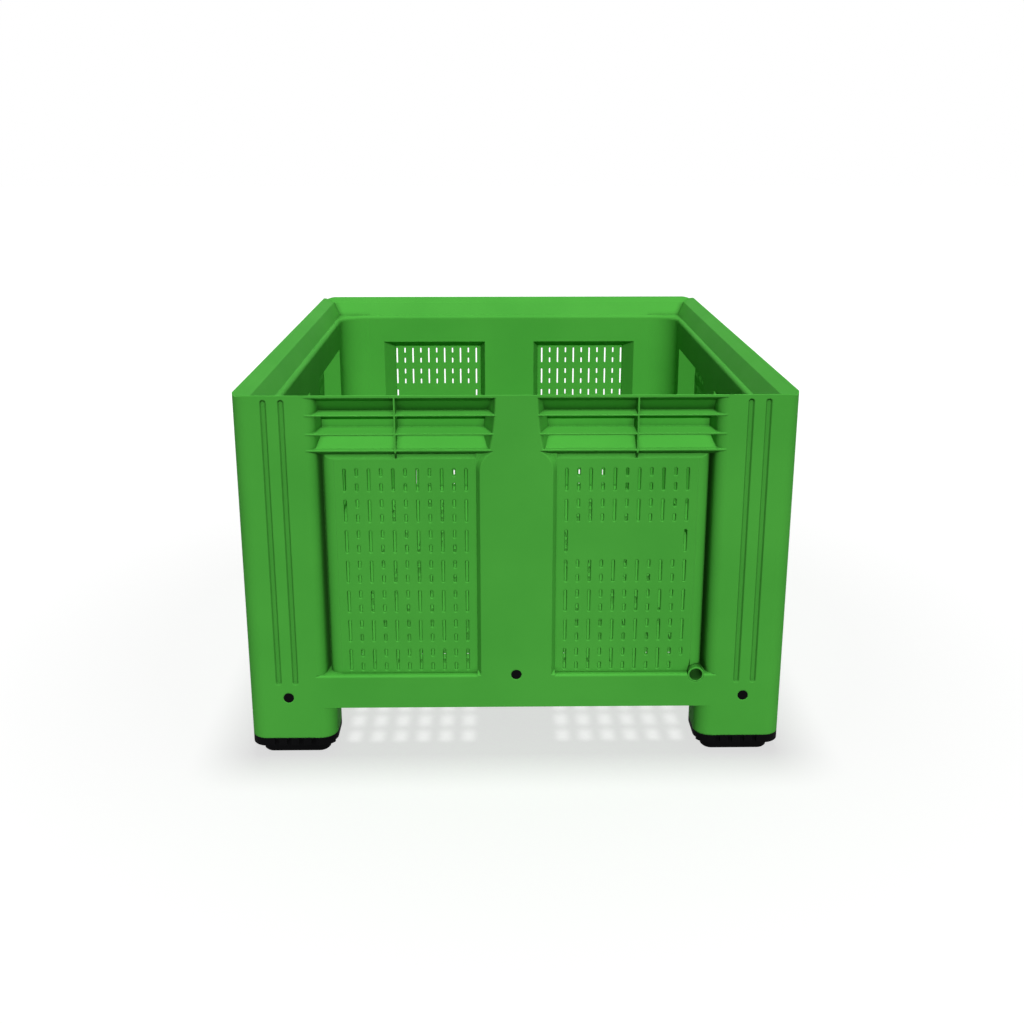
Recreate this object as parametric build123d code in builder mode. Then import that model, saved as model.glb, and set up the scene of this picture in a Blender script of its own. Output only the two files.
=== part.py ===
from build123d import *
from math import radians, sin, sqrt, tan
import os

# A vented pallet box: a green moulded tub with flared rim, vented walls and deck, on black feet.
# Millimetres, Z up, origin on the floor under the middle of the box, front wall facing -Y.

# Overall size
box_width = 1000
box_length = 1200
box_height = 700
outer_corner_radius = 30
skin = 4

# Heights above the floor
foot_height = 38
fork_height = 100
deck_height = 152
sill_height = 165

# Wall section: depths from the outer face inward, drops from the rim downward
wall_depth = 55
rim_bevel_depth = 27
rim_bevel_drop = 11
lip_depth = 45
lip_drop = 43
ledge_round = 8

# Corner post: where it meets the walls, its core and its face grooves
corner_reach = 125
core_drop = 70
groove_width = 11.5
groove_depth = 3
groove_draft = 40
groove_places = (58, 89)
groove_bottom = 147
groove_rim_gap = 8

# Rib pockets between the rim and each vent window, and the flare of the centre band beside them
rim_edge = 5.5
rib_thickness = 3
rib_drops = (38.5, 72.5, 102)
pocket_band_half = 37.5
pocket_end_draft = 18
pocket_edge_round = 4
pocket_slope_drop = 80
flare_radius = 442
flare_corner_radius = 42
flare_corner_angle = 65

# Vent windows: two in each wall, either side of the centre band
band_half = 72
band_draft = 30
jamb_start = 126
jamb_round = 20
jamb_turn = 80
jamb_setback = 150
sill_round = 4
panel_setback = 12
panel_thickness = 4
panel_drop = 118
panel_end_gap = 25
panel_end_round = 22
jamb_groove_depth = 45
head_cove_depth = 20
head_cove_drop = 112
inner_jamb_inset = 12
inner_frame_splay = 27
inner_head_splay = 18
inner_band_splay = 12
inner_head_drop = 114

# Vent slots: long ones and pairs of short ones, in turn along each row
slot_width = 4.4
slot_length = 43
short_slot_length = 15
slot_rows = 7
slot_column_pitch = 21.7
slot_margin = 18
slot_bottom_margin = 5.5
slot_top_margin = 18.7
blank_row = 4

# Base beam and centre band cores
beam_cells_per_side = 4
band_core_half = 62
band_core_drop = 122

# Deck
deck_skin = 5
deck_slot_width = 14
deck_rows = 18
deck_edge = 5

# Legs and feet
leg_width = 161
leg_inner_radius = 90
shoulder_bottom = 26
shoulder_lip_drop = 4
shoulder_lip_width = 15
pad_inset = 18
pad_width = 126
pad_round = 20
pad_edge_bevel = 2.5
flute_width = 9
flute_depth = 8
flute_pitch = 23
flute_count = 4
flute_middle = 83
flute_top = 35
tongue_start = 32
tongue_width = 86
tongue_thickness = 10
tongue_top = 142

# Pins, plugs and drain
pin_place = 75
pin_height = 121
plug_height = 166
head_radius = 9.5
head_recess = 0.8
shank_radius = 6
shank_length = 9.5
collar_radius = 11.5
collar_length = 3
drain_jamb_gap = 15
drain_height = 164
drain_radius = 15
drain_bore_radius = 12
round_clearance = 0.3
arc_clearance = 0.8

# Sizes that follow
inner_width = box_width - 2 * wall_depth
inner_length = box_length - 2 * wall_depth
inner_corner_radius = corner_reach - wall_depth
ledge_height = box_height - lip_drop
core_top = box_height - core_drop
groove_top = box_height - groove_rim_gap
pocket_top = box_height - rim_edge
pocket_back = wall_depth - skin
head_height = box_height - rib_drops[-1]
pocket_floor = head_height + rib_thickness
cove_height = box_height - head_cove_drop
panel_top = box_height - panel_drop
panel_back = panel_setback + panel_thickness
inner_head_height = box_height - inner_head_drop
band_core_top = box_height - band_core_drop
band_face_half = band_half - panel_setback * tan(radians(band_draft))
drain_place = box_width / 2 - jamb_setback - drain_jamb_gap
flare_corner_drop = flare_corner_radius * sin(radians(flare_corner_angle))


def band_edge(height):
    """Half width of the centre band's face at a height beside the pockets, where it flares downward."""
    fall = pocket_top - height
    return pocket_band_half + flare_radius - sqrt(flare_radius**2 - fall**2)


def middle_rib(half_wall):
    """Place of the upright rib that halves the pockets and runs down to the panel's head."""
    return (band_half + half_wall - jamb_setback + rib_thickness) / 2


def jamb_lines(tip, depth):
    """The outline of a jamb from the outer face at tip to a depth: a round, then a slanted side."""
    start = CenterArc((tip, jamb_round), jamb_round, 270, -jamb_turn)
    length = depth - (start @ 1).Y
    return PolarLine(start @ 1, length, 180 - jamb_turn, length_mode=LengthMode.VERTICAL)


def rib_pocket(half_wall):
    """The space of the three pockets above one window, less the ribs that cross it."""
    tip = half_wall - jamb_start
    flare_middle = (pocket_top + panel_top) / 2
    with BuildPart() as pocket:
        with BuildSketch(Plane.YZ.offset(pocket_band_half)):
            with BuildLine():
                Polyline(
                    (0, pocket_top),
                    (rim_bevel_depth - skin, box_height - rim_bevel_drop - skin),
                    (lip_depth - skin, ledge_height - skin),
                    (pocket_back, ledge_height - ledge_round - skin),
                    (pocket_back, box_height - pocket_slope_drop),
                    (panel_setback, pocket_floor),
                    (0, pocket_floor),
                    close=True,
                )
            make_face()
        extrude(amount=tip - pocket_band_half)
        with BuildSketch(Plane.XY.offset(pocket_floor)):
            with BuildLine():
                jamb_side = jamb_lines(tip, pocket_back)
                Polyline(
                    jamb_side @ 1,
                    (pocket_band_half, pocket_back),
                    (pocket_band_half, 0),
                    (tip, 0),
                )
            make_face()
        extrude(amount=box_height - pocket_floor, mode=Mode.INTERSECT)
        with BuildSketch(Plane.XZ):
            with BuildLine():
                ThreePointArc(
                    (pocket_band_half, pocket_top),
                    (band_edge(flare_middle), flare_middle),
                    (band_edge(panel_top), panel_top),
                )
                Polyline(
                    (band_edge(panel_top), panel_top),
                    (half_wall, panel_top),
                    (half_wall, box_height + rib_drops[0]),
                    (pocket_band_half, box_height + rib_drops[0]),
                    (pocket_band_half, pocket_top),
                )
            make_face()
        extrude(amount=-wall_depth, taper=pocket_end_draft, mode=Mode.INTERSECT)
        for drop in rib_drops[:-1]:
            with BuildSketch(Plane.XY.offset(box_height - drop)):
                Rectangle(tip, pocket_back, align=(Align.MIN, Align.MIN))
            extrude(amount=rib_thickness, mode=Mode.SUBTRACT)
        with BuildSketch(Plane.YZ.offset(middle_rib(half_wall))):
            with Locations((0, pocket_floor)):
                Rectangle(pocket_back, box_height - pocket_floor, align=(Align.MIN, Align.MIN))
        extrude(amount=rib_thickness, mode=Mode.SUBTRACT)
    return pocket.part


def window_space(half_wall):
    """The space of one window: outer recess with its jamb groove, panel seat and splayed inner recess."""
    jamb = half_wall - jamb_setback
    inner_jamb = jamb - inner_jamb_inset
    panel_end = jamb - panel_end_gap
    tip = half_wall - jamb_start
    with BuildPart() as window:
        with BuildSketch(Plane.XY.offset(sill_height)):
            with BuildLine():
                jamb_side = jamb_lines(tip, jamb_groove_depth)
                panel_side = CenterArc(
                    (panel_end, panel_setback + panel_end_round),
                    panel_end_round,
                    270,
                    90,
                )
                Polyline(jamb_side @ 1, ((panel_side @ 1).X, jamb_groove_depth), panel_side @ 1)
                Polyline(
                    (panel_end, panel_setback),
                    (band_half, panel_setback),
                    (band_half, 0),
                    (tip, 0),
                )
            make_face()
        extrude(amount=head_height - sill_height)
        with BuildSketch(Plane.YZ.offset(band_half)):
            with BuildLine():
                Polyline(
                    (0, panel_top),
                    (panel_setback, panel_top),
                    (head_cove_depth, cove_height),
                    (0, head_height),
                    close=True,
                )
            make_face()
        extrude(amount=jamb - band_half)
        with BuildSketch(Plane.XZ):
            with BuildLine():
                shoulder = CenterArc(
                    (band_face_half - flare_corner_radius, head_height - flare_corner_drop),
                    flare_corner_radius,
                    0,
                    flare_corner_angle,
                )
                Polyline(
                    shoulder @ 1,
                    (panel_end, head_height),
                    (panel_end, sill_height),
                    (band_face_half, sill_height),
                    shoulder @ 0,
                )
            make_face()
        extrude(amount=-panel_setback, taper=band_draft)
        with BuildSketch(Plane.YZ):
            with BuildLine():
                Polyline(
                    (0, head_height),
                    (head_cove_depth, cove_height),
                    (jamb_groove_depth, cove_height),
                    (jamb_groove_depth, head_height),
                    close=True,
                )
            make_face()
        extrude(amount=half_wall, mode=Mode.SUBTRACT)
        with BuildSketch(Plane.YZ.offset(middle_rib(half_wall))):
            with BuildLine():
                Polyline(
                    (0, head_height),
                    (0, head_height - rib_thickness),
                    (panel_setback, panel_top),
                    (head_cove_depth, cove_height),
                    close=True,
                )
            make_face()
        extrude(amount=rib_thickness, mode=Mode.SUBTRACT)
        with BuildSketch(Plane.YZ.offset(band_half)):
            with BuildLine():
                Polyline((0, sill_height - sill_round), (0, sill_height), (sill_round, sill_height))
                CenterArc((sill_round, sill_height - sill_round), sill_round, 90, 90)
            make_face()
        extrude(amount=tip - band_half)
        with BuildSketch(Plane.XY.offset(sill_height)):
            with Locations((band_half, panel_setback)):
                Rectangle(panel_end - band_half, panel_thickness, align=(Align.MIN, Align.MIN))
        extrude(amount=panel_top - sill_height)
        with BuildSketch(Plane.XZ.offset(-wall_depth)):
            with Locations((inner_jamb, sill_height)):
                Rectangle(
                    inner_jamb - band_half + inner_band_splay / 2,
                    inner_head_height - sill_height,
                    align=(Align.MAX, Align.MIN),
                )
        with BuildSketch(Plane.XZ.offset(-panel_back)):
            with Locations((inner_jamb - inner_frame_splay, sill_height)):
                Rectangle(
                    inner_jamb - inner_frame_splay - band_half - inner_band_splay / 2,
                    inner_head_height - inner_head_splay - sill_height,
                    align=(Align.MAX, Align.MIN),
                )
        loft()
    return window.part


def moulded_wall(half_wall):
    """A wall between two posts, outer face on y = 0: rim, rib pockets, windows, hollow band and beam."""
    half_span = half_wall - corner_reach
    cell_pitch = (half_span - band_core_half - skin) / beam_cells_per_side
    cells_middle = (half_span + band_core_half) / 2
    core_depth = wall_depth - 2 * skin
    pocket = rib_pocket(half_wall)
    window = window_space(half_wall)
    with BuildPart() as wall:
        with BuildSketch(Plane.YZ.offset(-half_span)):
            with BuildLine():
                Polyline(
                    (wall_depth, ledge_height - ledge_round),
                    (wall_depth, fork_height),
                    (0, fork_height),
                    (0, box_height),
                    (rim_bevel_depth, box_height - rim_bevel_drop),
                    (lip_depth, ledge_height),
                    (wall_depth - ledge_round, ledge_height),
                )
                CenterArc((wall_depth - ledge_round, ledge_height - ledge_round), ledge_round, 0, 90)
            make_face()
        extrude(amount=2 * half_span)
        with BuildSketch(Plane.XY.offset(fork_height)):
            with Locations((-cells_middle, wall_depth / 2), (cells_middle, wall_depth / 2)):
                with GridLocations(cell_pitch, 0, beam_cells_per_side, 1):
                    Rectangle(cell_pitch - skin, core_depth)
        extrude(amount=sill_height - sill_round - skin - fork_height, mode=Mode.SUBTRACT)
        with BuildSketch(Plane.XY.offset(fork_height)):
            with Locations((0, wall_depth / 2)):
                Rectangle(2 * band_core_half, core_depth)
        extrude(amount=band_core_top - fork_height, mode=Mode.SUBTRACT)
        add(pocket, mode=Mode.SUBTRACT)
        add(window, mode=Mode.SUBTRACT)
        add(mirror(pocket, about=Plane.YZ, mode=Mode.PRIVATE), mode=Mode.SUBTRACT)
        add(mirror(window, about=Plane.YZ, mode=Mode.PRIVATE), mode=Mode.SUBTRACT)
        face_arcs = wall.edges().group_by(Axis.Y)[0].filter_by(GeomType.CIRCLE)
        fillet(face_arcs.filter_by_position(Axis.Z, pocket_floor, pocket_top), pocket_edge_round)
        with BuildSketch(Plane.XZ):
            with Locations((0, plug_height)):
                Circle(head_radius + round_clearance)
        extrude(amount=-skin, mode=Mode.SUBTRACT)
    return wall.part


def slot_columns(half_wall):
    """Places of the slot columns of one window, from the centre band outward: long, pair, long and so on."""
    first = band_half + slot_margin
    last = half_wall - jamb_setback - panel_end_gap - slot_margin
    count = 2 * round((last - first) / slot_column_pitch / 2) + 1
    return [first + (last - first) * column / (count - 1) for column in range(count)]


def vent_panel(half_wall, side, blank, drained):
    """A slotted panel on one side of the centre band, blank for an unslotted strip, drained by a tube."""
    panel_width = half_wall - jamb_setback - panel_end_gap - band_half
    panel_height = panel_top - sill_height
    bottom_slot = sill_height + slot_bottom_margin + slot_length / 2
    slot_climb = panel_height - slot_bottom_margin - slot_top_margin - slot_length
    pair_offset = (slot_length - short_slot_length) / 2
    columns = slot_columns(half_wall)
    long_slots = []
    short_slots = []
    for row in range(slot_rows):
        height = bottom_slot + row * slot_climb / (slot_rows - 1)
        for column, reach in enumerate(columns):
            end_column = column in (0, len(columns) - 1)
            if blank and row == blank_row and not end_column:
                continue
            if drained and row == 0 and reach == columns[-1]:
                short_slots.append((side * reach, height + pair_offset))
            elif column % 2:
                short_slots.append((side * reach, height - pair_offset))
                short_slots.append((side * reach, height + pair_offset))
            else:
                long_slots.append((side * reach, height))
    with BuildPart() as panel:
        with BuildSketch(Plane.XZ.offset(-panel_setback)):
            with Locations((side * (band_half + panel_width / 2), sill_height + panel_height / 2)):
                Rectangle(panel_width, panel_height)
            with Locations(*long_slots):
                Rectangle(slot_width, slot_length, mode=Mode.SUBTRACT)
            with Locations(*short_slots):
                Rectangle(slot_width, short_slot_length, mode=Mode.SUBTRACT)
        extrude(amount=-panel_thickness)
    return panel.part


def cut_for_drain(shape):
    """The front wall and its right panel, opened for the drain tube."""
    with BuildPart() as opened:
        add(shape)
        with BuildSketch(Plane.XZ):
            with Locations((drain_place, drain_height)):
                Circle(drain_radius + round_clearance)
        extrude(amount=-wall_depth, mode=Mode.SUBTRACT)
    return opened.part


def write_piece(shape, label, place):
    """Puts a finished piece at its place in the box and writes it under its name."""
    piece = shape.moved(place)
    piece.label = label
    export_step(piece, f"parts/{label}.step")


# Corner post, with the outer corner of the box at its origin and the box toward +X +Y
with BuildPart() as post:
    with BuildSketch(Plane.XY.offset(fork_height)) as column_plan:
        Rectangle(corner_reach, corner_reach, align=(Align.MIN, Align.MIN))
        fillet(column_plan.vertices().sort_by_distance((0, 0))[0], outer_corner_radius)
        with Locations((corner_reach, corner_reach)):
            Circle(inner_corner_radius, mode=Mode.SUBTRACT)
    extrude(amount=box_height - fork_height)
    with BuildSketch(Plane.XY.offset(fork_height)) as core_plan:
        with Locations((skin, skin)):
            Rectangle(corner_reach - skin, corner_reach - skin, align=(Align.MIN, Align.MIN))
        fillet(core_plan.vertices().sort_by_distance((0, 0))[0], outer_corner_radius - skin)
        with Locations((corner_reach, corner_reach)):
            Circle(inner_corner_radius + skin, mode=Mode.SUBTRACT)
    extrude(amount=core_top - fork_height, mode=Mode.SUBTRACT)
    for upper, lower in (
        ((0, 0), (rim_bevel_depth, rim_bevel_drop)),
        ((rim_bevel_depth, rim_bevel_drop), (lip_depth, lip_drop)),
    ):
        for inset, drop in (upper, lower):
            with BuildSketch(Plane.XY.offset(box_height - drop)):
                with Locations((inset, inset)):
                    Rectangle(box_width / 2, box_width / 2, align=(Align.MIN, Align.MIN))
        loft(mode=Mode.SUBTRACT)
    fillet(post.edges().filter_by(GeomType.CIRCLE).group_by(Axis.Z)[-1], ledge_round)
    for face, inward in ((Plane.XZ, -1), (Plane.YZ, 1)):
        with BuildSketch(face):
            with Locations(*((place, (groove_bottom + groove_top) / 2) for place in groove_places)):
                SlotOverall(groove_top - groove_bottom, groove_width, rotation=90)
        extrude(amount=inward * groove_depth, taper=groove_draft, mode=Mode.SUBTRACT)
        with BuildSketch(face):
            with Locations((pin_place, pin_height)):
                Circle(head_radius + round_clearance)
        extrude(amount=inward * skin, mode=Mode.SUBTRACT)

# Leg under the post, open below for the foot and above for the foot's tongues
with BuildPart() as leg:
    with BuildSketch(Plane.XY.offset(foot_height)) as leg_plan:
        Rectangle(leg_width, leg_width, align=(Align.MIN, Align.MIN))
        leg_corners = leg_plan.vertices().sort_by_distance((0, 0))
        fillet(leg_corners[:-1], outer_corner_radius)
        fillet(leg_plan.vertices().sort_by_distance((0, 0))[-1], leg_inner_radius)
    extrude(amount=fork_height - foot_height)
    with BuildSketch(Plane.XY.offset(foot_height)):
        add(leg_plan.sketch.moved(Location((0, 0, -foot_height))))
        offset(amount=-skin, mode=Mode.REPLACE)
    extrude(amount=fork_height - foot_height - skin, mode=Mode.SUBTRACT)
    with BuildSketch(Plane.XY.offset(fork_height)):
        add(core_plan.sketch.moved(Location((0, 0, -fork_height))))
    extrude(amount=-skin, mode=Mode.SUBTRACT)

# Foot: a shoulder under the leg, a pad that nests in the rim below, and two pinned tongues
with BuildPart() as foot:
    with BuildSketch(Plane.XY.offset(shoulder_bottom)):
        add(leg_plan.sketch.moved(Location((0, 0, -foot_height))))
    extrude(amount=foot_height - shoulder_bottom)
    with BuildSketch(Plane.XY.offset(shoulder_bottom)):
        add(leg_plan.sketch.moved(Location((0, 0, -foot_height))))
        with Locations((shoulder_lip_width, shoulder_lip_width)):
            Rectangle(leg_width, leg_width, align=(Align.MIN, Align.MIN), mode=Mode.SUBTRACT)
    extrude(amount=-shoulder_lip_drop)
    for face, inward in ((Plane.XZ, -1), (Plane.YZ, 1)):
        with BuildSketch(face):
            with Locations((flute_middle, flute_top)):
                with GridLocations(flute_pitch, 0, flute_count, 1):
                    Rectangle(flute_width, flute_top, align=(Align.CENTER, Align.MAX))
        extrude(amount=inward * flute_depth, mode=Mode.SUBTRACT)
    with BuildSketch():
        with Locations((pad_inset, pad_inset)):
            RectangleRounded(pad_width, pad_width, pad_round, align=(Align.MIN, Align.MIN))
    extrude(amount=shoulder_bottom)
    chamfer(foot.edges().group_by(Axis.Z)[0], pad_edge_bevel)
    with BuildSketch(Plane.XY.offset(foot_height)):
        with Locations((tongue_start, skin)):
            Rectangle(tongue_width, tongue_thickness, align=(Align.MIN, Align.MIN))
        with Locations((skin, tongue_start)):
            Rectangle(tongue_thickness, tongue_width, align=(Align.MIN, Align.MIN))
    extrude(amount=tongue_top - foot_height)
    for face, inward in ((Plane.XZ, -1), (Plane.YZ, 1)):
        with BuildSketch(face):
            with Locations((pin_place, pin_height)):
                Circle(shank_radius + round_clearance)
        extrude(amount=inward * (skin + tongue_thickness), mode=Mode.SUBTRACT)

# Foot pin, along +Y from the face of a post: a head in the post's skin and a shank in the tongue
with BuildPart() as pin:
    with BuildSketch(Plane.XZ.offset(-head_recess)):
        Circle(head_radius)
    extrude(amount=head_recess - skin)
    with BuildSketch(Plane.XZ.offset(-skin)):
        Circle(shank_radius)
    extrude(amount=-shank_length)

# Centre plug, along +Y from the face of a wall: a head in the skin and a collar behind it
with BuildPart() as plug:
    with BuildSketch(Plane.XZ.offset(-head_recess)):
        Circle(head_radius)
    extrude(amount=head_recess - skin)
    with BuildSketch(Plane.XZ.offset(-skin)):
        Circle(collar_radius)
    extrude(amount=-collar_length)

# Drain tube through the front wall, its end flush with the outer face
with BuildPart() as drain_tube:
    with BuildSketch(Plane.XZ):
        with Locations((drain_place, drain_height)):
            Circle(drain_radius)
            Circle(drain_bore_radius, mode=Mode.SUBTRACT)
    extrude(amount=-wall_depth)

# Deck: a plate slotted in line with the front wall's long slots, on ribs that run between the slots
long_columns = slot_columns(box_width / 2)[::2]
long_pitch = long_columns[1] - long_columns[0]
deck_columns = [side * reach for side in (-1, 1) for reach in long_columns]
rib_reaches = [reach - long_pitch / 2 for reach in long_columns[::2]] + [long_columns[-1] + long_pitch / 2]
deck_ribs = [0] + [side * reach for side in (-1, 1) for reach in rib_reaches]
deck_row_pitch = (inner_length - 2 * deck_edge - slot_length) / (deck_rows - 1)
with BuildPart() as deck:
    with BuildSketch(Plane.XY.offset(fork_height)):
        RectangleRounded(inner_width, inner_length, inner_corner_radius + arc_clearance)
    extrude(amount=deck_height - fork_height)
    with BuildSketch(Plane.XY.offset(fork_height)):
        RectangleRounded(inner_width - 2 * skin, inner_length - 2 * skin, inner_corner_radius - skin)
        with Locations(*((rib, 0) for rib in deck_ribs)):
            Rectangle(skin, inner_length, mode=Mode.SUBTRACT)
        with GridLocations(0, 2 * deck_row_pitch, 1, deck_rows // 2):
            Rectangle(inner_width, skin, mode=Mode.SUBTRACT)
    extrude(amount=deck_height - deck_skin - fork_height, mode=Mode.SUBTRACT)
    with BuildSketch(Plane.XY.offset(deck_height)):
        with Locations(*((column, 0) for column in deck_columns)):
            with GridLocations(0, deck_row_pitch, 1, deck_rows):
                Rectangle(deck_slot_width, slot_length)
    extrude(amount=-deck_skin, mode=Mode.SUBTRACT)

os.makedirs("parts", exist_ok=True)
write_piece(deck.part, "vented_deck", Location())

end_wall = moulded_wall(box_width / 2)
end_panel_left = vent_panel(box_width / 2, -1, False, False)
drained_panel = cut_for_drain(vent_panel(box_width / 2, 1, True, True))
blank_panel = vent_panel(box_width / 2, 1, True, False)
side_wall = moulded_wall(box_length / 2)
side_panel_left = vent_panel(box_length / 2, -1, False, False)
side_panel_right = vent_panel(box_length / 2, 1, False, False)

front_place = Location((0, -box_length / 2, 0))
right_place = Location((box_width / 2, 0, 0), (0, 0, 90))
back_place = Location((0, box_length / 2, 0), (0, 0, 180))
left_place = Location((-box_width / 2, 0, 0), (0, 0, 270))
walls = {
    "front": (front_place, cut_for_drain(end_wall), end_panel_left, drained_panel),
    "right": (right_place, side_wall, side_panel_left, side_panel_right),
    "back": (back_place, end_wall, end_panel_left, blank_panel),
    "left": (left_place, side_wall, side_panel_left, side_panel_right),
}
for name, (place, wall_shape, left_panel, right_panel) in walls.items():
    write_piece(wall_shape, f"{name}_wall", place)
    write_piece(left_panel, f"{name}_wall_vent_panel_left", place)
    write_piece(right_panel, f"{name}_wall_vent_panel_right", place)
    write_piece(plug.part, f"{name}_wall_centre_plug", place * Location((0, 0, plug_height)))
write_piece(drain_tube.part, "drain_tube", front_place)

corners = {
    "front_left": Location((-box_width / 2, -box_length / 2, 0)),
    "front_right": Location((box_width / 2, -box_length / 2, 0), (0, 0, 90)),
    "back_right": Location((box_width / 2, box_length / 2, 0), (0, 0, 180)),
    "back_left": Location((-box_width / 2, box_length / 2, 0), (0, 0, 270)),
}
for name, place in corners.items():
    write_piece(post.part, f"{name}_corner_post", place)
    write_piece(leg.part, f"{name}_leg", place)
    write_piece(foot.part, f"{name}_foot", place)
    write_piece(pin.part, f"{name}_foot_pin_1", place * Location((pin_place, 0, pin_height)))
    write_piece(pin.part, f"{name}_foot_pin_2", place * Location((0, pin_place, pin_height), (0, 0, 270)))
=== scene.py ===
import math

import bpy
import numpy as np
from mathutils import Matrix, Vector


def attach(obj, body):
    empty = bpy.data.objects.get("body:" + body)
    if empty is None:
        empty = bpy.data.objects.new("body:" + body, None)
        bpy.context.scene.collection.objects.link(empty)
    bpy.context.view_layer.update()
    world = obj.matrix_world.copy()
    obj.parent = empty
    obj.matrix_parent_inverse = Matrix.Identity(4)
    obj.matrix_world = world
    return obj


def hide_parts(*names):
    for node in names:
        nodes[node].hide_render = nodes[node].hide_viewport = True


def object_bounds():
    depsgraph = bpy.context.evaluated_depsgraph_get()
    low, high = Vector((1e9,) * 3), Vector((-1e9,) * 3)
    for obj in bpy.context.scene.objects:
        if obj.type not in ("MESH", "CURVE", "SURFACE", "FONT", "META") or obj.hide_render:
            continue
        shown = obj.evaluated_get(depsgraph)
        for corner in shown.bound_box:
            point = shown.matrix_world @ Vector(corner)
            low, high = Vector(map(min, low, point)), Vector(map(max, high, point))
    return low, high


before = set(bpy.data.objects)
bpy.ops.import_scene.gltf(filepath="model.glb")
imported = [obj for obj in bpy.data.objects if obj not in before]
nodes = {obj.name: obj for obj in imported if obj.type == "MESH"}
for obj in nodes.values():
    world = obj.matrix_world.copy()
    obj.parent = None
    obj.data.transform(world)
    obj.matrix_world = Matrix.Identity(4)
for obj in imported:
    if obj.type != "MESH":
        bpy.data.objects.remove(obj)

# Vented pallet box: a one-shot green polyethylene moulding on four black feet.
# Its walls, posts, legs, vent panels, deck and drain tube are regions of that moulding.
cad_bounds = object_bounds()


# Deck: the slotted floor of the tub, moulded in green polyethylene with ribs below.
# Its plastic serves the whole tub: satin, finely grained, a little paler where edges rub, with painted shade
# darkening its crevices.
half_width, half_length = (round(float(size), 4) for size in cad_bounds[1][:2])
corner_reach, fork_height, seam_reach = 0.125, 0.1, 0.004


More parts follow.
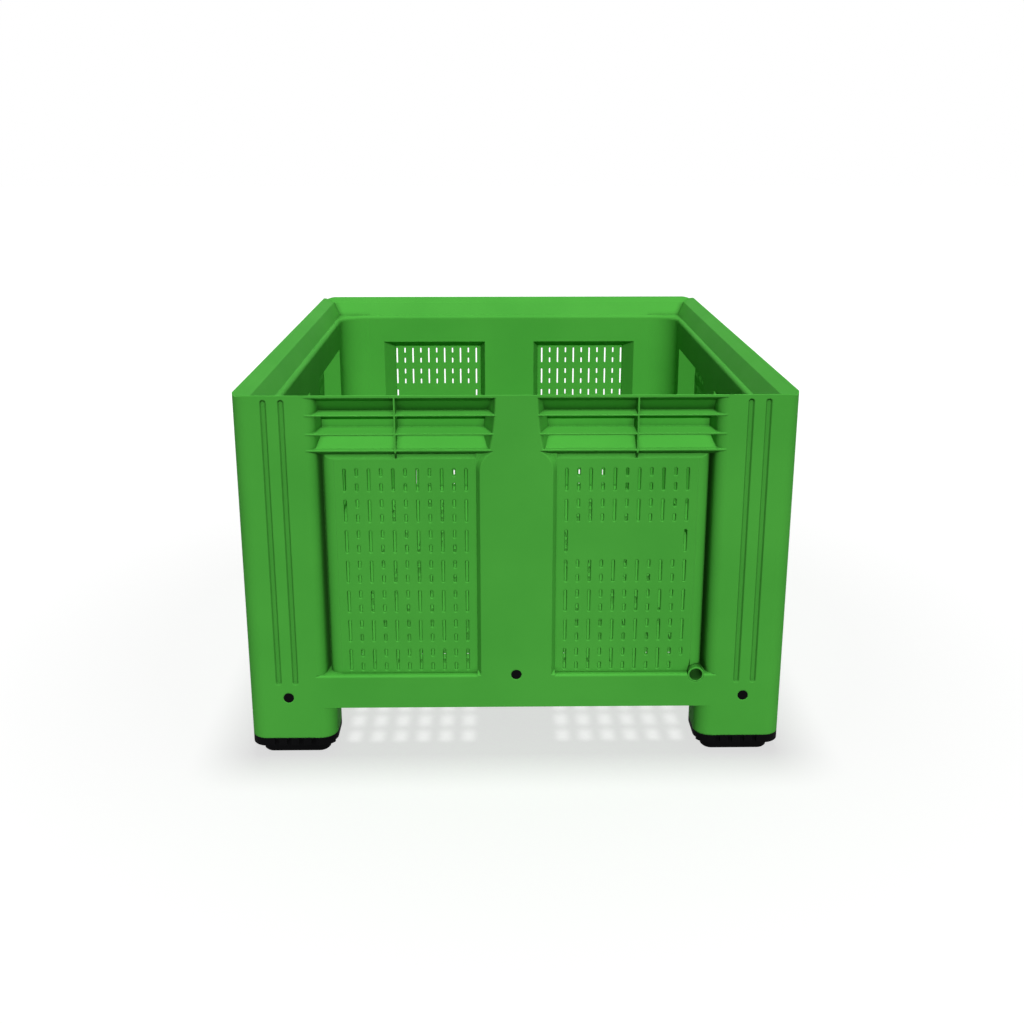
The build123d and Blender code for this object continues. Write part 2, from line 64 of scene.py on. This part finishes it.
def moulded_plastic(name, shades, roughness, gleam, grain, edge_radius, rub, reach, clear, darkest):
    """Moulded plastic in Object coordinates.

    Colour runs between two shades with a slow noise and lightens toward the third where the rounded
    normal leaves the flat one, which is along the edges. Painted shade darkens the colour in the crevices,
    where faces within reach leave less of the sky than the clear share, down to the darkest share.
    Grain is a fine bump. The rounding is left out near the planes where two regions of the same moulding
    meet.
    """
    material = bpy.data.materials.new(name)
    material.use_nodes = True
    tree = material.node_tree
    tree.nodes.clear()

    def make(kind, **values):
        item = tree.nodes.new(kind)
        for key, value in values.items():
            setattr(item, key, value)
        return item

    def join(source, output, target, socket):
        tree.links.new(source.outputs[output], target.inputs[socket])

    place = make("ShaderNodeTexCoord")
    shape = make("ShaderNodeNewGeometry")
    surface = make("ShaderNodeBsdfPrincipled")
    result = make("ShaderNodeOutputMaterial")
    join(surface, "BSDF", result, "Surface")
    surface.inputs["Specular IOR Level"].default_value = gleam

    slow = make("ShaderNodeTexNoise")
    slow.inputs["Scale"].default_value = 5.0
    slow.inputs["Detail"].default_value = 4.0
    join(place, "Object", slow, "Vector")
    tint = make("ShaderNodeValToRGB")
    tint.color_ramp.elements[0].position = 0.35
    tint.color_ramp.elements[0].color = (*shades[0], 1.0)
    tint.color_ramp.elements[1].position = 0.65
    tint.color_ramp.elements[1].color = (*shades[1], 1.0)
    join(slow, "Fac", tint, "Fac")

    rounded = make("ShaderNodeBevel", samples=8)
    rounded.inputs["Radius"].default_value = edge_radius
    axes = make("ShaderNodeSeparateXYZ")
    join(place, "Object", axes, "Vector")
    seams = []
    planes = {"X": half_width - corner_reach, "Y": half_length - corner_reach, "Z": fork_height}
    for axis, plane in planes.items():
        size = make("ShaderNodeMath", operation="ABSOLUTE")
        join(axes, axis, size, 0)
        near = make("ShaderNodeMath", operation="COMPARE")
        near.inputs[1].default_value = plane
        near.inputs[2].default_value = seam_reach
        join(size, 0, near, 0)
        seams.append(near)
    either = make("ShaderNodeMath", operation="MAXIMUM")
    join(seams[0], 0, either, 0)
    join(seams[1], 0, either, 1)
    seam = make("ShaderNodeMath", operation="MAXIMUM")
    join(either, 0, seam, 0)
    join(seams[2], 0, seam, 1)
    facing = make("ShaderNodeMix", data_type="VECTOR")
    join(seam, 0, facing, 0)
    join(rounded, "Normal", facing, 4)
    join(shape, "Normal", facing, 5)

    turn = make("ShaderNodeVectorMath", operation="DOT_PRODUCT")
    join(facing, 1, turn, 0)
    join(shape, "Normal", turn, 1)
    edge = make("ShaderNodeMapRange")
    edge.inputs["From Min"].default_value = 0.99
    edge.inputs["From Max"].default_value = 0.85
    edge.inputs["To Max"].default_value = rub
    join(turn, "Value", edge, "Value")
    worn = make("ShaderNodeMix", data_type="RGBA")
    join(edge, "Result", worn, 0)
    join(tint, "Color", worn, 6)
    worn.inputs[7].default_value = (*shades[2], 1.0)
    # Painted shade: the colour is multiplied darker where the ambient occlusion is low, in crevices and
    # recesses.
    hidden = make("ShaderNodeAmbientOcclusion", samples=6)
    hidden.inputs["Distance"].default_value = reach
    crevice_painted_shade = make("ShaderNodeMapRange")
    crevice_painted_shade.inputs["From Min"].default_value = 0.3
    crevice_painted_shade.inputs["From Max"].default_value = clear
    crevice_painted_shade.inputs["To Min"].default_value = darkest
    join(hidden, "AO", crevice_painted_shade, "Value")
    toned = make("ShaderNodeMix", data_type="RGBA", blend_type="MULTIPLY")
    toned.inputs[0].default_value = 1.0
    join(worn, 2, toned, 6)
    join(crevice_painted_shade, "Result", toned, 7)
    join(toned, 2, surface, "Base Color")

    sheen = make("ShaderNodeTexNoise")
    sheen.inputs["Scale"].default_value = 26.0
    sheen.inputs["Detail"].default_value = 3.0
    join(place, "Object", sheen, "Vector")
    gloss = make("ShaderNodeMapRange")
    gloss.inputs["To Min"].default_value = roughness - 0.07
    gloss.inputs["To Max"].default_value = roughness + 0.07
    join(sheen, "Fac", gloss, "Value")
    join(gloss, "Result", surface, "Roughness")

    fine = make("ShaderNodeTexNoise")
    fine.inputs["Scale"].default_value = 700.0
    fine.inputs["Detail"].default_value = 2.0
    join(place, "Object", fine, "Vector")
    bump = make("ShaderNodeBump")
    bump.inputs["Strength"].default_value = grain
    bump.inputs["Distance"].default_value = 0.0004
    join(fine, "Fac", bump, "Height")
    join(facing, 1, bump, "Normal")
    join(bump, "Normal", surface, "Normal")
    return material


def dress(node, material):
    """Gives a CAD node one material in all its slots."""
    slots = nodes[node].data.materials
    for index in range(len(slots)):
        slots[index] = material


tub_finish = {
    "shades": ((0.053, 0.295, 0.036), (0.060, 0.318, 0.040), (0.085, 0.42, 0.06)),
    "roughness": 0.55,
    "gleam": 0.012,
    "grain": 0.12,
    "edge_radius": 0.0022,
    "rub": 0.5,
}
green = moulded_plastic("green_polyethylene", **tub_finish, reach=0.014, clear=0.8, darkest=0.45)
dress("vented_deck", green)

# Corner posts and legs: the tub's four corners, hollow, with two moulded grooves in each outer face
# that painted shade makes darker than the face. Each leg is the part of a corner beside the fork
# openings, closed below by a black foot.
corners = ("front_left", "front_right", "back_right", "back_left")
# The posts' plastic takes painted shade even in shallow hollows, so the grooves show dark.
grooved_green_painted_shade = moulded_plastic("grooved_polyethylene_painted_shade", **tub_finish, reach=0.014, clear=1.0, darkest=0.15)
for corner in corners:
    dress(corner + "_corner_post", grooved_green_painted_shade)
    dress(corner + "_leg", green)

# Walls: moulded sides with a flared rim, three ribbed pockets over each window and a plain hollow
# centre band that widens downward; the hollow base beam under the windows spans the fork openings.
sides = ("front", "right", "back", "left")
for side in sides:
    dress(side + "_wall", green)

# Vent panels: the thin slotted webs set back in each window, moulded with the wall.
# Long slots and pairs of short ones alternate along seven rows, round at the ends and wider outside
# than inside for the mould; one strip stays blank at the right of the two end walls.
band_edge, jamb_reach, sill, head = 0.072, 0.175, 0.165, 0.582
web_front, web_thickness = 0.012, 0.004
side_margin, bottom_margin, top_margin, column_pitch = 0.018, 0.0055, 0.0187, 0.0217
long_half, short_half, pair_offset = 0.0215, 0.0078, 0.014
outer_radius, inner_radius, lip = 0.0029, 0.0018, 0.0005
slot_rows, blank_row, arc_steps = 7, 4, 6
drain_reach, drain_level, drain_room = 0.335, 0.164, 0.0153


def slot_cells(centres, cells, slot_half, split):
    """Plate cells with one slot each, as points (cell, ring, point, axis).

    The slot follows (r cos t, +-(h - r) + r sin t). Each of its points has a partner on the cell's
    border, so border, lip, slot edge, drafted back edge and border again are five rings of quads.
    Cells with a split have two more points, level with the border between the pairs beside them.
    """
    turn = np.linspace(0.0, np.pi, arc_steps + 1)
    share = turn / np.pi
    one = np.ones_like(turn)
    upper = np.stack([np.cos(turn), np.sin(turn), one, 1.0 - share, one], axis=1)
    lower = np.stack([-np.cos(turn), -np.sin(turn), -one, share, 0.0 * one], axis=1)
    far_side = np.array([[1.0, 0.0, 0.0, 1.0, 0.5]])
    near_side = np.array([[-1.0, 0.0, 0.0, 0.0, 0.5]])
    parts = [far_side, upper, near_side, lower] if split else [upper, lower]
    cos, sin, end, across, up = np.concatenate(parts).T
    low, high, level = cells[:, 2:3], cells[:, 3:4], cells[:, 4:5]
    border_u = cells[:, 0:1] + across * (cells[:, 1:2] - cells[:, 0:1])
    border_z = np.where(up == 0.0, low, np.where(up == 1.0, high, level))
    rings = []
    for radius, depth in ((0.0, 0.0), (outer_radius + lip, 0.0), (outer_radius, lip),
                          (inner_radius, web_thickness), (0.0, web_thickness)):
        u, z = border_u, border_z
        if radius:
            u = centres[:, 0:1] + radius * cos
            z = centres[:, 1:2] + end * (slot_half - outer_radius) + radius * sin
        rings.append(np.stack([u, np.full_like(u, web_front + depth), z], axis=-1))
    return np.stack(rings, axis=1)


def vent_web(name, half_wall, side, blank, drained, quarter, out):
    """One slotted web: slot columns from the centre band outward, long and paired in turn, by rows.

    A point (u along the wall, d inward, z) goes to the box by turning (u, d - out) by quarter turns.
    """
    end = half_wall - jamb_reach
    first, last = band_edge + side_margin, end - side_margin
    count = 2 * round((last - first) / column_pitch / 2) + 1
    reach = np.linspace(first, last, count)
    height = np.linspace(sill + bottom_margin + long_half, head - top_margin - long_half, slot_rows)
    u_edge = np.concatenate([[band_edge], (reach[1:] + reach[:-1]) / 2, [end]])
    z_edge = np.concatenate([[sill], (height[1:] + height[:-1]) / 2, [head]])
    column, row = (grid.ravel() for grid in np.meshgrid(np.arange(count), np.arange(slot_rows)))
    inner = (column > 0) & (column < count - 1)
    is_open = ~(inner & (row == blank_row)) if blank else np.ones(len(row), dtype=bool)
    stub = (row == 0) & (column == count - 1) & drained
    whole = (column % 2 == 0) & ~stub

    def cells(pick, low, high):
        at = column[pick]
        return np.stack([u_edge[at], u_edge[at + 1], low, high, height[row[pick]]], axis=1)

    pair = ~whole
    z_low, z_mid, z_high = z_edge[row], height[row], z_edge[row + 1]
    kinds = [
        (whole, z_mid[whole], cells(whole, z_low[whole], z_high[whole]), long_half, is_open[whole], True),
        (pair, z_mid[pair] - pair_offset, cells(pair, z_low[pair], z_mid[pair]), short_half,
         (is_open & ~stub)[pair], False),
        (pair, z_mid[pair] + pair_offset, cells(pair, z_mid[pair], z_high[pair]), short_half,
         is_open[pair], False),
    ]
    points, quads, caps, start = [], [], [], 0
    for pick, level, cell, slot_half, slotted, split in kinds:
        centres = np.stack([reach[column[pick]], level], axis=1)
        block = slot_cells(centres, cell, slot_half, split)
        index = start + np.arange(block[..., 0].size).reshape(block.shape[:3])
        start += block[..., 0].size
        points.append(block.reshape(-1, 3))
        here, there = index, np.roll(index, -1, axis=2)
        bands = np.stack([here[:, :-1], there[:, :-1], there[:, 1:], here[:, 1:]], axis=-1)
        quads.append(bands[slotted].reshape(-1, 4))
        caps += [index[~slotted, 0], index[~slotted, -1][:, ::-1]]
        u, z = block[:, 0, :, 0], block[:, 0, :, 2]
        flat_u, flat_z = np.roll(u, -1, axis=1) == u, np.roll(z, -1, axis=1) == z
        rim = (flat_u & ((u == band_edge) | (u == end))) | (flat_z & ((z == sill) | (z == head)))
        strip = np.stack([there[:, 0], here[:, 0], here[:, -1], there[:, -1]], axis=-1)
        quads.append(strip[rim])
    points = np.concatenate(points)
    quads = np.concatenate(quads)
    if drained:
        du, dz = points[:, 0] - drain_reach, points[:, 2] - drain_level
        away = np.hypot(du, dz)
        push = np.where(away < drain_room, drain_room / np.maximum(away, 1e-6), 1.0)
        points[:, 0] = drain_reach + du * push
        points[:, 2] = np.maximum(drain_level + dz * push, sill)
    points[:, 0] *= side
    cos, sin = ((1, 0), (0, 1), (-1, 0), (0, -1))[quarter]
    u, d = points[:, 0].copy(), points[:, 1] - out
    points[:, 0], points[:, 1] = cos * u - sin * d, sin * u + cos * d
    points, weld = np.unique(np.round(points, 7), axis=0, return_inverse=True)
    weld = weld.ravel()
    faces = [weld[quads]] + [weld[cap] for cap in caps if len(cap)]
    if side < 0:
        faces = [face[:, ::-1] for face in faces]
    used = np.unique(np.concatenate([face.ravel() for face in faces]))
    rank = np.zeros(len(points), dtype=int)
    rank[used] = np.arange(len(used))
    mesh = bpy.data.meshes.new(name)
    mesh.from_pydata(points[used].tolist(), [], [line for face in faces for line in rank[face].tolist()])
    mesh.shade_smooth()
    mesh.set_sharp_from_angle(angle=math.radians(40.0))
    mesh.materials.append(green)
    web = bpy.data.objects.new(name, mesh)
    bpy.context.scene.collection.objects.link(web)
    return web


for quarter, wall in enumerate(sides):
    end_wall = quarter % 2 == 0
    half_wall, out = (half_width, half_length) if end_wall else (half_length, half_width)
    for side, half in ((-1, "left"), (1, "right")):
        right_end = end_wall and side > 0
        web = vent_web(f"{wall}_vent_web_{half}", half_wall, side, right_end, right_end and wall == "front",
                       quarter, out)
        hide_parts(f"{wall}_wall_vent_panel_{half}")
        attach(web, "root")

# Drain tube: a short green pipe moulded through the front wall at the lower corner of the right window.
# Its mouth is flush with the outer face, the bottom of its bore is level with the deck, and painted
# shade, reaching further than on the tub, darkens the bore inside.
# Painted shade: a longer occlusion reach and a darker floor make the bore dark.
tube_green_painted_shade = moulded_plastic("drain_polyethylene_painted_shade", **tub_finish, reach=0.035, clear=1.0, darkest=0.15)
dress("drain_tube", tube_green_painted_shade)

# Feet: black moulded caps with a fluted shoulder, held in each leg by two pins through the post.
# The pins' round heads sit in the posts, and a plug of the same size closes each wall's core.
black = moulded_plastic(
    "black_plastic",
    ((0.0022, 0.0022, 0.0025), (0.0038, 0.0038, 0.0042), (0.012, 0.012, 0.013)),
    roughness=0.6,
    gleam=0.02,
    grain=0.2,
    edge_radius=0.0015,
    rub=0.6,
    reach=0.014,
    clear=0.8,
    darkest=0.45,
)
for corner in corners:
    dress(corner + "_foot", black)
    dress(corner + "_foot_pin_1", black)
    dress(corner + "_foot_pin_2", black)
for side in sides:
    dress(side + "_wall_centre_plug", black)

# Floor: a plain pale studio floor that keeps the box's soft shadow.
# To the camera and to reflections it glows, more with distance, so that open floor is white.
def seen(tree):
    """The output that is 1 for what the camera or a reflection sees, and 0 for light that falls on things."""
    ray = tree.nodes.new("ShaderNodeLightPath")
    total = ray.outputs["Is Camera Ray"]
    for kind in ("Is Glossy Ray", "Is Transmission Ray"):
        either = tree.nodes.new("ShaderNodeMath")
        either.operation = "MAXIMUM"
        tree.links.new(total, either.inputs[0])
        tree.links.new(ray.outputs[kind], either.inputs[1])
        total = either.outputs[0]
    return total


bpy.ops.mesh.primitive_plane_add(size=40.0, location=(0.0, 0.0, 0.0))
floor = bpy.context.object
floor.name = "studio_floor"
paint = bpy.data.materials.new("studio_floor_paint")
paint.use_nodes = True
tree = paint.node_tree
tree.nodes.clear()
dim = tree.nodes.new("ShaderNodeBsdfDiffuse")
dim.inputs["Color"].default_value = (0.25, 0.25, 0.25, 1.0)
pale = tree.nodes.new("ShaderNodeBsdfDiffuse")
pale.inputs["Color"].default_value = (0.4, 0.4, 0.4, 1.0)
place = tree.nodes.new("ShaderNodeTexCoord")
away = tree.nodes.new("ShaderNodeVectorMath")
away.operation = "LENGTH"
rise = tree.nodes.new("ShaderNodeMapRange")
rise.inputs["From Min"].default_value = 0.8
rise.inputs["From Max"].default_value = 3.2
rise.inputs["To Min"].default_value = 0.68
rise.inputs["To Max"].default_value = 1.0
glow = tree.nodes.new("ShaderNodeEmission")
lit = tree.nodes.new("ShaderNodeAddShader")
pick = tree.nodes.new("ShaderNodeMixShader")
out = tree.nodes.new("ShaderNodeOutputMaterial")
tree.links.new(place.outputs["Object"], away.inputs[0])
tree.links.new(away.outputs["Value"], rise.inputs["Value"])
tree.links.new(rise.outputs["Result"], glow.inputs["Strength"])
tree.links.new(pale.outputs[0], lit.inputs[0])
tree.links.new(glow.outputs[0], lit.inputs[1])
tree.links.new(seen(tree), pick.inputs[0])
tree.links.new(dim.outputs[0], pick.inputs[1])
tree.links.new(lit.outputs[0], pick.inputs[2])
tree.links.new(pick.outputs[0], out.inputs["Surface"])
floor.data.materials.append(paint)

# Light: a broad lamp over the floor for the shadow, and an even light without shadows on the box.
# The room glows low around the sides and the back, is dim elsewhere, and is white to the camera.
def hang(name, data, state):
    """Hangs a lamp that lights the floor alone (INCLUDE) or all but the floor (EXCLUDE)."""
    item = bpy.data.objects.new(name, data)
    group = bpy.data.collections.new(name + "_target")
    group.objects.link(floor)
    group.collection_objects[0].light_linking.link_state = state
    item.light_linking.receiver_collection = group
    bpy.context.scene.collection.objects.link(item)
    return item


even = bpy.data.lights.new("front_light", "SUN")
even.energy = 4.55
even.angle = math.radians(20.0)
even.use_shadow = False
hang("front_light", even, "EXCLUDE").rotation_euler = (math.radians(39.0), 0.0, math.radians(7.0))
broad = bpy.data.lights.new("floor_lamp", "AREA")
broad.shape = "DISK"
broad.size = 1.4
broad.energy = 350.0
hang("floor_lamp", broad, "INCLUDE").location = (0.0, 0.0, 7.7)
room = bpy.data.worlds.new("studio_room")
bpy.context.scene.world = room
room.use_nodes = True
tree = room.node_tree
tree.nodes.clear()
toward = tree.nodes.new("ShaderNodeTexCoord")
axes = tree.nodes.new("ShaderNodeSeparateXYZ")
low = tree.nodes.new("ShaderNodeMapRange")
low.inputs["From Max"].default_value = 0.22
low.inputs["To Min"].default_value = 2.6
low.inputs["To Max"].default_value = 0.0
behind = tree.nodes.new("ShaderNodeMapRange")
behind.inputs["From Min"].default_value = -0.5
behind.inputs["From Max"].default_value = 0.1
ring = tree.nodes.new("ShaderNodeMath")
ring.operation = "MULTIPLY_ADD"
ring.inputs[2].default_value = 0.1
air = tree.nodes.new("ShaderNodeBackground")
air.inputs["Color"].default_value = (1.0, 1.0, 1.0, 1.0)
white = tree.nodes.new("ShaderNodeBackground")
white.inputs["Color"].default_value = (1.0, 1.0, 1.0, 1.0)
white.inputs["Strength"].default_value = 1.0
pick = tree.nodes.new("ShaderNodeMixShader")
out = tree.nodes.new("ShaderNodeOutputWorld")
tree.links.new(toward.outputs["Generated"], axes.inputs["Vector"])
tree.links.new(axes.outputs["Z"], low.inputs["Value"])
tree.links.new(axes.outputs["Y"], behind.inputs["Value"])
tree.links.new(low.outputs["Result"], ring.inputs[0])
tree.links.new(behind.outputs["Result"], ring.inputs[1])
tree.links.new(ring.outputs[0], air.inputs["Strength"])
tree.links.new(seen(tree), pick.inputs[0])
tree.links.new(air.outputs[0], pick.inputs[1])
tree.links.new(white.outputs[0], pick.inputs[2])
tree.links.new(pick.outputs[0], out.inputs["Surface"])
bpy.context.scene.view_settings.view_transform = "Standard"

# Camera: a normal lens in front of the box and above its rim, tilted down into it.
# A small shift sets the box's height in the picture.
eye = bpy.data.cameras.new("eye")
eye.sensor_width = 36.0
eye.lens = 41.14
eye.shift_y = -0.06
viewer = bpy.data.objects.new("eye", eye)
viewer.location = (-0.0353, -2.5863, 1.1544)
viewer.rotation_euler = (math.radians(90.0 - 15.609), 0.0, math.radians(-0.786))
bpy.context.scene.collection.objects.link(viewer)
bpy.context.scene.camera = viewer
